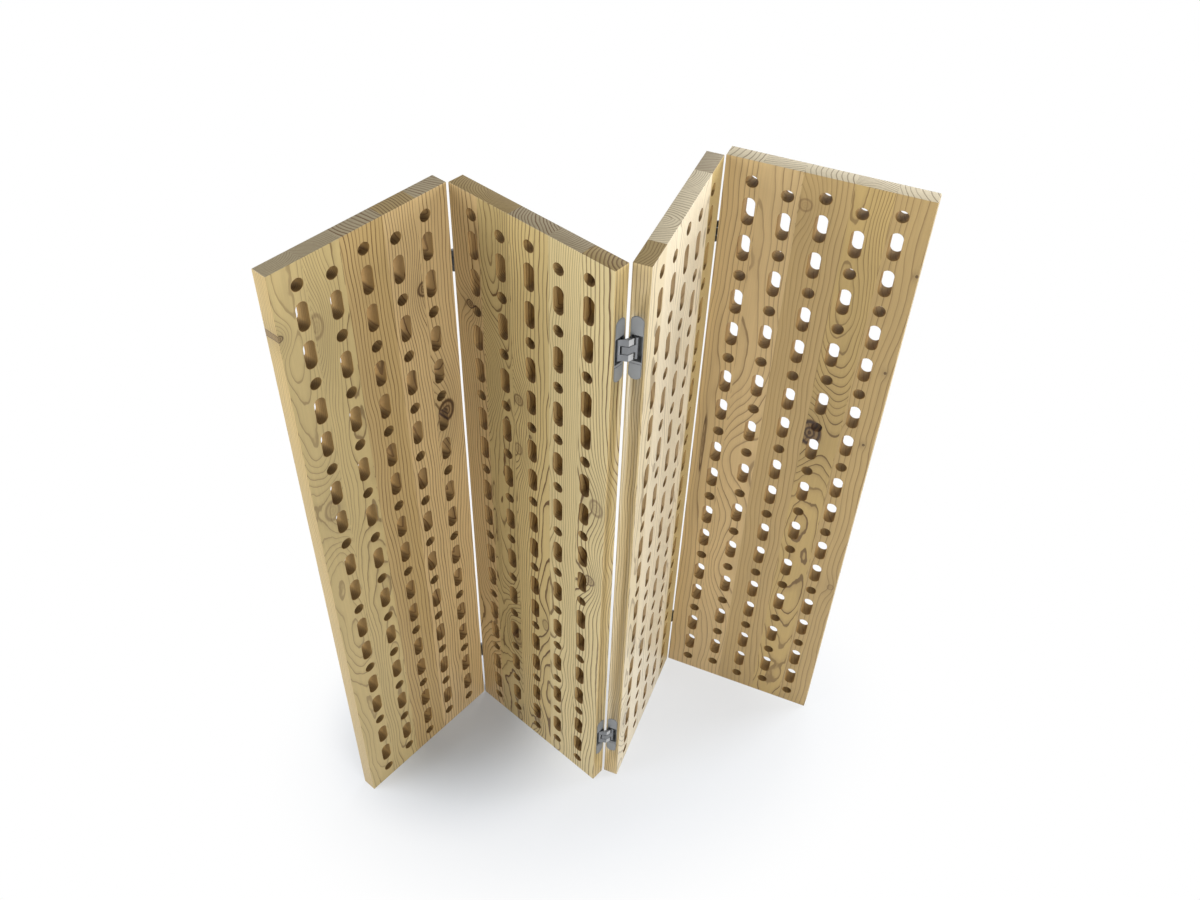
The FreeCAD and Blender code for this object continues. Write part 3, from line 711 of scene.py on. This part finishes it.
class Timber:
    """One panel's softwood: wires in the panel's own axes, worked out step by step."""

    def __init__(self, graph, panel, settings):
        self.graph = graph
        self.settings = settings
        self.staves = STAVE_WOOD[panel]
        self.knots = KNOTS[panel]
        self.axes = PANEL_AXES[panel]
        self.width = bpy.context.scene.divider_board.width
        self.glue_lines = stave_edges(panel, self.axes)
        coordinates = graph.add("ShaderNodeTexCoord", output="Object")
        self.place = graph.add("ShaderNodeMapping", {"vector_type": "TEXTURE"},
                               {"Vector": coordinates, "Location": self.axes.translation,
                                "Rotation": (0, 0, math.radians(HEADINGS[panel]))})
        self.across = graph.add("ShaderNodeSeparateXYZ", inputs={"Vector": self.place}, output="X")
        self.depth = self.across.output("Y")
        self.height = self.across.output("Z")
        self.share = self.across / self.width

        # A number of its own for each stave moves it to another part of the noises
        passed = [self.across > line for line in self.glue_lines]
        self.number = PANEL_STEP * panel + sum(passed[1:], start=passed[0])
        shift = graph.vector(*(self.number * step for step in STAVE_STEPS))
        self.grain_place = graph.add("ShaderNodeVectorMath", {"operation": "ADD"},
                                     {0: self.place, 1: shift})

    def by_stave(self, values):
        """One colour for each stave, as a stepped ramp across the panel."""
        stops = [0.0] + [line / self.width for line in self.glue_lines]
        return self.graph.add("ShaderNodeValToRGB",
                              {"interpolation": "CONSTANT", "stops": list(zip(stops, values))},
                              {"Fac": self.share})

    def tints(self, names):
        """A colour for each stave, by its name in the settings."""
        return self.by_stave([getattr(self.settings, name) for name in names])

    def numbers(self, rows):
        """Three numbers for each stave, as three wires."""
        colours = self.by_stave([(*row, 1.0) for row in rows])
        first = self.graph.add("ShaderNodeSeparateColor", inputs={"Color": colours}, output="Red")
        return first, first.output("Green"), first.output("Blue")

    def noise(self, pattern):
        """A pattern drawn out along the grain, as a number around MIDDLE."""
        stretched = self.graph.scaled(self.grain_place, (pattern.across, pattern.across, pattern.along))
        return self.graph.noise(stretched, 1.0, pattern.detail, pattern.roughness)

    def drift(self, pattern):
        """A pattern as a number around zero."""
        return (self.noise(pattern) - MIDDLE) * pattern.reach

    def from_heart(self):
        """Distance from the heart of each stave's tree, which leans."""
        hearts = [(wood.heart_across, wood.heart_depth, wood.lean) for wood in self.staves]
        across, depth, lean = self.numbers([[MIDDLE + value for value in heart] for heart in hearts])
        climb = (lean - MIDDLE) * (self.height - LEAN_HEIGHT)
        beside = self.across - (across - MIDDLE) + climb
        behind = self.depth - (depth - MIDDLE) + climb
        return (beside * beside + behind * behind).maths("SQRT")

    def add_knots(self, radius, fine, wavy):
        """Swell the rings around the knots, and return them with the knots' stain and their halo."""
        stain = 0.0
        halo = 0.0
        limits = [-self.width, *self.glue_lines, 2 * self.width]
        for knot in self.knots:
            stave = sum(knot.across > line for line in self.glue_lines)
            inside = (self.across > limits[stave]) * (self.across < limits[stave + 1])
            shake = [min(most, knot.size * each) for most, each in (FINE_SHAKE, WAVY_SHAKE)]
            waver = fine * shake[0] + wavy * shake[1]
            beside = (self.across - knot.across + waver) / knot.size
            above = (self.height - knot.up + waver) / (knot.size * knot.stretch)
            distance = (beside * beside + above * above).maths("SQRT")
            fall = (beside * beside + above * above * SWELL_ALONG) * -SWELL_FALL
            swell = fall.maths("EXPONENT") * inside
            rings = (distance * CORE_RING_RATE).maths("SINE") * CORE_RING_SWING + (1 - CORE_RING_SWING)
            core = self.graph.smooth(distance, *CORE_FADE) * rings * knot.darkness
            faint = knot.darkness ** FAINT_POWER
            rim = self.graph.smooth(abs(distance - 1.0), *RIM_FADE) * faint
            radius = radius + swell * (knot.size * SWELL_REACH)
            stain = (core.maths("MAXIMUM", rim) * inside).maths("MAXIMUM", stain)
            halo = (swell * faint * HALO_SHARE).maths("MAXIMUM", halo)
        return radius, stain, halo

    def rings(self, radius, ring_width, late_share):
        """Late wood as a sharp line and as a broad band, and a random number for each year."""
        smooth = self.graph.smooth
        ring = radius / (ring_width * CENTIMETRE)
        phase = ring.maths("FRACT")
        year = self.graph.add("ShaderNodeTexWhiteNoise", {"noise_dimensions": "1D"},
                              {"W": ring.maths("FLOOR") + self.number * YEAR_STEP})
        ending = smooth(phase, 1.0, RING_END)
        start = RING_END - late_share
        line = smooth(phase, start - LINE_SOFTNESS, start)
        late = line.maths("MAXIMUM", smooth(phase, *SHADE_RISE) * SHADE_DEPTH) * ending
        band = smooth(phase, RING_END - late_share * BAND_SPREAD, start) * ending
        return late, band, year

    def cuts(self):
        """Shares of sawn end, of end grain sunk in a bore, of long edge, and of bored wall."""
        facing = self.graph.add("ShaderNodeTexCoord", output="Normal")
        up = abs(self.graph.add("ShaderNodeSeparateXYZ", inputs={"Vector": facing}, output="Z"))
        sideways = abs(self.graph.add("ShaderNodeVectorMath", {"operation": "DOT_PRODUCT"},
                                      {0: facing, 1: self.axes.to_3x3().col[0]}, "Value"))
        bore = self.graph.add("ShaderNodeAttribute", {"attribute_name": BORE}, output="Fac")
        end = self.graph.smooth(up, *SQUARE_FADE) * (1 - bore)
        sunk = self.graph.smooth(up, *SUNK_FADE) * bore
        edge = self.graph.smooth(sideways, *SQUARE_FADE) * (1 - bore)
        return end, sunk, edge, bore

    def shader(self):
        """The finished wood."""
        graph = self.graph
        settings = self.settings
        growths = [(wood.ring_width / CENTIMETRE, wood.contrast, wood.late_share) for wood in self.staves]
        ring_width, contrast, late_share = self.numbers(growths)
        fine = self.drift(FINE_DRIFT)
        wavy = self.drift(WAVY_DRIFT)
        radius = self.from_heart() + self.drift(SLOW_DRIFT) + wavy + fine
        radius, stain, halo = self.add_knots(radius, fine, wavy)
        late, band, year = self.rings(radius, ring_width, late_share)
        end, sunk, edge, bore = self.cuts()
        fibre = self.noise(FIBRES)
        cloud = self.noise(CLOUDS)

        # The dark lines, sharp on the faces and broad where the wood is cut across
        cut = end.maths("MAXIMUM", sunk)
        strength = contrast * (1 - edge) * (1 - cut)
        strength = strength + cut * (END_LINES + contrast * END_CONTRAST) + edge * EDGE_LINES
        line = (late + (band - late) * cut) * (FAINT_YEAR + (1 - FAINT_YEAR) * year)
        line = line * strength * (FAINT_CLOUD + cloud * CLOUD_LINES)

        tint = self.tints(wood.tint for wood in self.staves)
        end_tint = self.tints(wood.end for wood in self.staves)
        colour = graph.mix(end, tint, end_tint)
        colour = graph.mix(edge * EDGE_SHARE, colour, settings.side_grain)
        # The bores' darker colours are partly the wood's own and partly painted shade of the holes
        colour = graph.mix(bore * BORED_SHARE, colour, settings.bored_and_shade)
        colour = graph.mix(sunk * SUNK_SHARE, colour, settings.sunk_grain_and_shade)
        colour = graph.mix(line.maths("MINIMUM", 1.0), colour, settings.latewood)
        shade = 1.0 + (fibre - MIDDLE) * FIBRES.reach + self.drift(STREAKS)
        shade = shade + (cloud - MIDDLE) * CLOUDS.reach - halo * HALO_DEPTH
        colour = graph.shaded(colour, shade)
        colour = graph.mix(stain * STAIN_SHARE, colour, settings.knot)
        colour = graph.shaded(colour, 1 - stain * stain * STAIN_DEPTH)

        roughness = settings.roughness + (fibre - MIDDLE) * FIBRE_ROUGHNESS + late * LATE_ROUGHNESS
        roughness = roughness + end * END_ROUGHNESS + bore * BORED_ROUGHNESS
        bump = graph.add("ShaderNodeBump", inputs={"Strength": RELIEF_STRENGTH, "Distance": RELIEF_DEPTH,
                                                   "Height": fibre * FIBRE_RELIEF + late * LATE_RELIEF})
        return graph.add("ShaderNodeBsdfPrincipled", inputs={"Base Color": colour, "Roughness": roughness,
                                                             "Normal": bump})


def timber_finish(panel, settings):
    """Softwood of one panel: growth rings of five staves, knots, end grain and bored walls."""
    material = bpy.data.materials.new(f"timber_{panel}")
    graph = fresh_graph(material)
    graph.add("ShaderNodeOutputMaterial", inputs={"Surface": Timber(graph, panel, settings).shader()})
    return material


class DIVIDER_OT_boards(bpy.types.Operator):
    """Build the four perforated timber boards"""

    bl_idname = "divider.boards"
    bl_label = "Boards"

    def execute(self, context):
        tree = perforated_board_tree()
        for panel in PANELS:
            timber = timber_finish(panel, context.scene.divider_timber)
            build_board(panel, tree, timber, context.scene.divider_board)
        return {"FINISHED"}


class HingeSettings(bpy.types.PropertyGroup):
    """Metal of the concealed hinges"""

    cast: FloatVectorProperty(name="Cast Metal", description="Housings and cover plates", subtype="COLOR",
                              size=4, default=srgb(154, 156, 157))
    bright: FloatVectorProperty(name="Bright Metal", description="Arms, pins and screws", subtype="COLOR",
                                size=4, default=srgb(138, 140, 143))
    # Painted highlight: a brighter metal for the fork arms' flanks that face to the right, where the light
    # from the right falls
    painted_highlight: FloatVectorProperty(name="Painted Highlight", description="Ground flanks of the fork arms",
                                  subtype="COLOR", size=4, default=srgb(203, 204, 205))
    easing: FloatProperty(name="Easing", description="Rounding of the metal edges", default=0.00025,
                          precision=5, unit="LENGTH")


class Mottle(NamedTuple):
    """A noise in the metal: repeats a metre, detail, reach in its shade and in its roughness."""

    scale: float
    detail: float
    shade: float
    roughness: float


GRIT = Mottle(2200.0, 2.0, 0.10, 0.08)
BLOTCH = Mottle(60.0, 3.0, 0.18, 0.14)
METAL_SHADE = 0.92
METALLIC = 0.75
GRIT_STRENGTH = 0.08
GRIT_DEPTH = 0.2 * MM
CAST_ROUGHNESS = 0.5
BRIGHT_ROUGHNESS = 0.55
HIGHLIGHT_ROUGHNESS = 0.45


def satin_metal(name, colour, roughness):
    """Fine-grained satin metal."""
    material = bpy.data.materials.new(name)
    graph = fresh_graph(material)
    place = graph.add("ShaderNodeTexCoord", output="Object")
    grit = graph.noise(place, GRIT.scale, GRIT.detail)
    blotch = graph.noise(place, BLOTCH.scale, BLOTCH.detail)
    shade = METAL_SHADE + (blotch - MIDDLE) * BLOTCH.shade + (grit - MIDDLE) * GRIT.shade
    rough = roughness + (blotch - MIDDLE) * BLOTCH.roughness + (grit - MIDDLE) * GRIT.roughness
    bump = graph.add("ShaderNodeBump", inputs={"Strength": GRIT_STRENGTH, "Distance": GRIT_DEPTH,
                                               "Height": grit})
    surface = graph.add("ShaderNodeBsdfPrincipled",
                        inputs={"Base Color": graph.shaded(tuple(colour), shade), "Metallic": METALLIC,
                                "Roughness": rough, "Normal": bump})
    graph.add("ShaderNodeOutputMaterial", inputs={"Surface": surface})
    return material


SHARP_ANGLE = math.radians(28)
FLAT_ANGLE = math.radians(0.5)
EASING_SEGMENTS = 2
# Profile of a bevel that is a part of a circle
ROUND_PROFILE = 0.5
# Normals of the flanks that get the painted highlight: share along X, and largest share along Z
FLANK_LEAST = 0.2
FLANK_MOST = 0.7
FLANK_UPRIGHT = 0.1


def eased_copy(node, easing, material, body):
    """A copy of a CAD node with its edges rounded, which stands for the node."""
    shape = bmesh.new()
    shape.from_mesh(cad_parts[node].data)
    bmesh.ops.remove_doubles(shape, verts=shape.verts, dist=MERGE_DISTANCE)
    bmesh.ops.dissolve_limit(shape, angle_limit=FLAT_ANGLE, verts=shape.verts, edges=shape.edges)
    sharp = [edge for edge in shape.edges
             if len(edge.link_faces) == 2 and edge.calc_face_angle() > SHARP_ANGLE]
    bmesh.ops.bevel(shape, geom=sharp, offset=easing, offset_type="OFFSET", segments=EASING_SEGMENTS,
                    profile=ROUND_PROFILE, affect="EDGES", clamp_overlap=True)
    for face in shape.faces:
        face.smooth = True
    mesh = bpy.data.meshes.new(node + "_eased")
    shape.to_mesh(mesh)
    shape.free()
    mesh.materials.append(material)
    mesh.set_sharp_from_angle(angle=SHARP_ANGLE)
    piece = new_piece(node + "_eased", mesh)
    # Broad faces keep their own direction, and the narrow rounding takes up the turn
    weighting = piece.modifiers.new("weighting", "WEIGHTED_NORMAL")
    weighting.keep_sharp = True
    piece.data = plain_mesh(piece, node + "_eased")
    piece.modifiers.remove(weighting)
    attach(piece, body)
    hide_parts(node)
    return piece


class DIVIDER_OT_housings(bpy.types.Operator):
    """Finish the hinge housings and their cover plates"""

    bl_idname = "divider.housings"
    bl_label = "Hinge Housings"

    def execute(self, context):
        settings = context.scene.divider_hinge
        cast = satin_metal("cast_metal", settings.cast, CAST_ROUGHNESS)
        for panel in PANELS:
            body = f"panel_{panel}"
            for node in housings_of(panel):
                eased_copy(node, settings.easing, cast, body)
            eased_copy(f"panel_{panel}_hinge_covers", settings.easing, cast, body)
        return {"FINISHED"}


def paint_flank_highlights(mesh, painted_highlight):
    """Paint the sloping flanks that face +X at one side of a fork arm's ridge in a brighter metal, as a
    painted highlight.
    """
    mesh.materials.append(painted_highlight)
    for face in mesh.polygons:
        if FLANK_LEAST < face.normal.x < FLANK_MOST and abs(face.normal.z) < FLANK_UPRIGHT:
            face.material_index = 1


class DIVIDER_OT_arms(bpy.types.Operator):
    """Finish the hinge arms, pins and screws"""

    bl_idname = "divider.arms"
    bl_label = "Hinge Arms"

    def execute(self, context):
        settings = context.scene.divider_hinge
        bright = satin_metal("bright_metal", settings.bright, BRIGHT_ROUGHNESS)
        painted_highlight = satin_metal("machined_metal", settings.painted_highlight, HIGHLIGHT_ROUGHNESS)
        for fold in FOLDS:
            for level in LEVELS:
                for arm in ("fork", "tongue"):
                    piece = eased_copy(f"fold_{fold}_{level}_{arm}_arm", settings.easing, bright,
                                       f"arms_{fold}")
                    # Fork arms get a painted highlight on their flanks that face right
                    if arm == "fork":
                        paint_flank_highlights(piece.data, painted_highlight)
        small = [f"fold_{fold}_centre_pins" for fold in FOLDS]
        small += [f"panel_{panel}_{part}" for panel in PANELS for part in ("pivot_pins", "hinge_screws")]
        for node in small:
            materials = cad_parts[node].data.materials
            materials.clear()
            materials.append(bright)
        return {"FINISHED"}


class StudioSettings(bpy.types.PropertyGroup):
    """Camera, lights and floor"""

    lens: FloatProperty(name="Lens", description="Focal length on a 36 mm sensor", default=34.344,
                        unit="CAMERA")
    front: FloatProperty(name="Front Light", description="Lamp before the screen", default=68.0,
                         unit="POWER")
    right: FloatProperty(name="Right Light", description="Lamp at the right", default=76.0, unit="POWER")
    left: FloatProperty(name="Left Light", description="Lamp at the left", default=76.0, unit="POWER")
    back: FloatProperty(name="Back Light", description="Lamp behind, at the right", default=45.0,
                        unit="POWER")
    ambient: FloatProperty(name="Ambient", description="Light from all round", default=0.32)


SENSOR_WIDTH = 36.0
CAMERA_PLACE = Vector((-0.4973, -1.8830, 3.0274))
CAMERA_RIGHT = Vector((0.9728, -0.2302, 0.0272))
CAMERA_UP = Vector((0.1410, 0.6809, 0.7187))
FLOOR_HALF = 12.0
FLOOR_DROP = 0.2 * MM
AIM = Vector((0.0, 0.0, 0.9))
# Place and size of each lamp
LAMPS = {
    "front": (Vector((1.0, -3.25, 2.1)), 1.6),
    "right": (Vector((3.1, 0.4, 2.6)), 1.6),
    "left": (Vector((-3.2, 0.0, 2.3)), 2.2),
    "back": (Vector((2.0, 2.8, 2.6)), 1.6),
}
# The shadow is deepest between the first two panels, and fades to a part of itself around them
DEEP_SHADOW = (-0.38, 0.10, 0.0)
DEEP_NEAR = 0.12
DEEP_FAR = 0.45
SOFT_SHARE = 0.4
# The rest of the shadow fades to plain white, sooner along Y than along X
SHADOW_STRETCH = (0.7, 1.0, 1.0)
SHADOW_NEAR = 0.30
SHADOW_FAR = 0.70
# Paper as it lights the screen, and as it is seen: darker, a painted shade that deepens the shadow, and a
# little cool, against the wood's warm light
PAPER = (0.88, 0.89, 0.90, 1.0)
SEEN_PAPER = (0.625, 0.675, 0.75, 1.0)


def seen_share(graph):
    """1 on rays from the camera, and on mirrored and bent rays; 0 on rays that carry light."""
    path = graph.add("ShaderNodeLightPath", output="Is Camera Ray")
    seen = path.maths("MAXIMUM", path.output("Is Glossy Ray"))
    return seen.maths("MAXIMUM", path.output("Is Transmission Ray"))


def floor_finish():
    """White floor that keeps the shadows."""
    material = bpy.data.materials.new("studio_floor")
    graph = fresh_graph(material)
    place = graph.add("ShaderNodeTexCoord", output="Object")
    from_middle = graph.add("ShaderNodeVectorMath", {"operation": "LENGTH"},
                            {0: graph.scaled(place, SHADOW_STRETCH)}, "Value")
    from_deep = graph.add("ShaderNodeVectorMath", {"operation": "DISTANCE"},
                          {0: place, 1: DEEP_SHADOW}, "Value")
    soft = 1 - SOFT_SHARE * (1 - graph.smooth(from_middle, SHADOW_NEAR, SHADOW_FAR))
    glow_share = graph.smooth(from_deep, DEEP_NEAR, DEEP_FAR) * soft
    seen = seen_share(graph)
    paper = graph.add("ShaderNodeBsdfDiffuse", inputs={"Color": graph.mix(seen, PAPER, SEEN_PAPER)})
    glow = graph.add("ShaderNodeEmission", inputs={"Color": WHITE, "Strength": 1.0})
    surface = graph.add("ShaderNodeMixShader", inputs={0: seen * glow_share, 1: paper, 2: glow})
    graph.add("ShaderNodeOutputMaterial", inputs={"Surface": surface})
    return material


def lay_floor():
    """A large sheet just under the panels."""
    mesh = bpy.data.meshes.new("studio_floor")
    corners = [(x, y, -FLOOR_DROP) for x, y in rectangle(FLOOR_HALF, FLOOR_HALF)]
    mesh.from_pydata(corners, [], [(0, 1, 2, 3)])
    mesh.materials.append(floor_finish())
    new_piece("studio_floor", mesh)


def hang_lamp(name, place, power, size):
    """A square soft lamp that points at the middle of the screen."""
    light = bpy.data.lights.new(name, "AREA")
    light.energy = power
    light.size = size
    piece = new_piece(name, light)
    piece.location = place
    piece.rotation_euler = (AIM - place).to_track_quat("-Z", "Y").to_euler()


def white_world(ambient):
    """A world that is white to look at and gives some light from all round."""
    world = bpy.data.worlds.new("studio_world")
    graph = fresh_graph(world)
    light = graph.add("ShaderNodeBackground", inputs={"Color": WHITE, "Strength": ambient})
    white = graph.add("ShaderNodeBackground", inputs={"Color": WHITE, "Strength": 1.0})
    sky = graph.add("ShaderNodeMixShader", inputs={0: seen_share(graph), 1: light, 2: white})
    graph.add("ShaderNodeOutputWorld", inputs={"Surface": sky})
    return world


def place_camera(lens):
    """The camera as it was fitted to the panels' corners."""
    camera = bpy.data.cameras.new("camera")
    camera.sensor_width = SENSOR_WIDTH
    camera.lens = lens
    eye = new_piece("camera", camera)
    turn = Matrix((CAMERA_RIGHT, CAMERA_UP, CAMERA_RIGHT.cross(CAMERA_UP))).transposed()
    eye.matrix_world = Matrix.Translation(CAMERA_PLACE) @ turn.to_4x4()
    return eye


class DIVIDER_OT_studio(bpy.types.Operator):
    """Set up the floor, the lights, the world and the camera"""

    bl_idname = "divider.studio"
    bl_label = "Studio"

    def execute(self, context):
        settings = context.scene.divider_studio
        lay_floor()
        for side, (place, size) in LAMPS.items():
            hang_lamp(f"{side}_lamp", place, getattr(settings, side), size)
        context.scene.world = white_world(settings.ambient)
        context.scene.camera = place_camera(settings.lens)
        context.scene.view_settings.view_transform = "Standard"
        return {"FINISHED"}


class DIVIDER_PT_panel(bpy.types.Panel):
    """Room divider"""

    bl_label = "Room Divider"
    bl_idname = "DIVIDER_PT_panel"
    bl_space_type = "VIEW_3D"
    bl_region_type = "UI"
    bl_category = "Divider"

    def draw(self, context):
        for group in GROUPS:
            box = self.layout.box()
            settings = getattr(context.scene, group)
            for name in settings.bl_rna.properties.keys():
                if name not in ("rna_type", "name"):
                    box.prop(settings, name)
        for operator in OPERATORS:
            self.layout.operator(operator.bl_idname)


OPERATORS = (DIVIDER_OT_boards, DIVIDER_OT_housings, DIVIDER_OT_arms, DIVIDER_OT_studio)
GROUPS = {"divider_board": BoardSettings, "divider_timber": TimberSettings, "divider_hinge": HingeSettings,
          "divider_studio": StudioSettings}


def register():
    for cls in (*GROUPS.values(), *OPERATORS, DIVIDER_PT_panel):
        bpy.utils.register_class(cls)
    for name, group in GROUPS.items():
        setattr(bpy.types.Scene, name, PointerProperty(type=group))


def unregister():
    for name in GROUPS:
        delattr(bpy.types.Scene, name)
    for cls in (DIVIDER_PT_panel, *OPERATORS, *GROUPS.values()):
        bpy.utils.unregister_class(cls)


def main():
    """Build everything."""
    register()
    bpy.ops.divider.boards()
    bpy.ops.divider.housings()
    bpy.ops.divider.arms()
    bpy.ops.divider.studio()


if __name__ == "__main__":
    main()
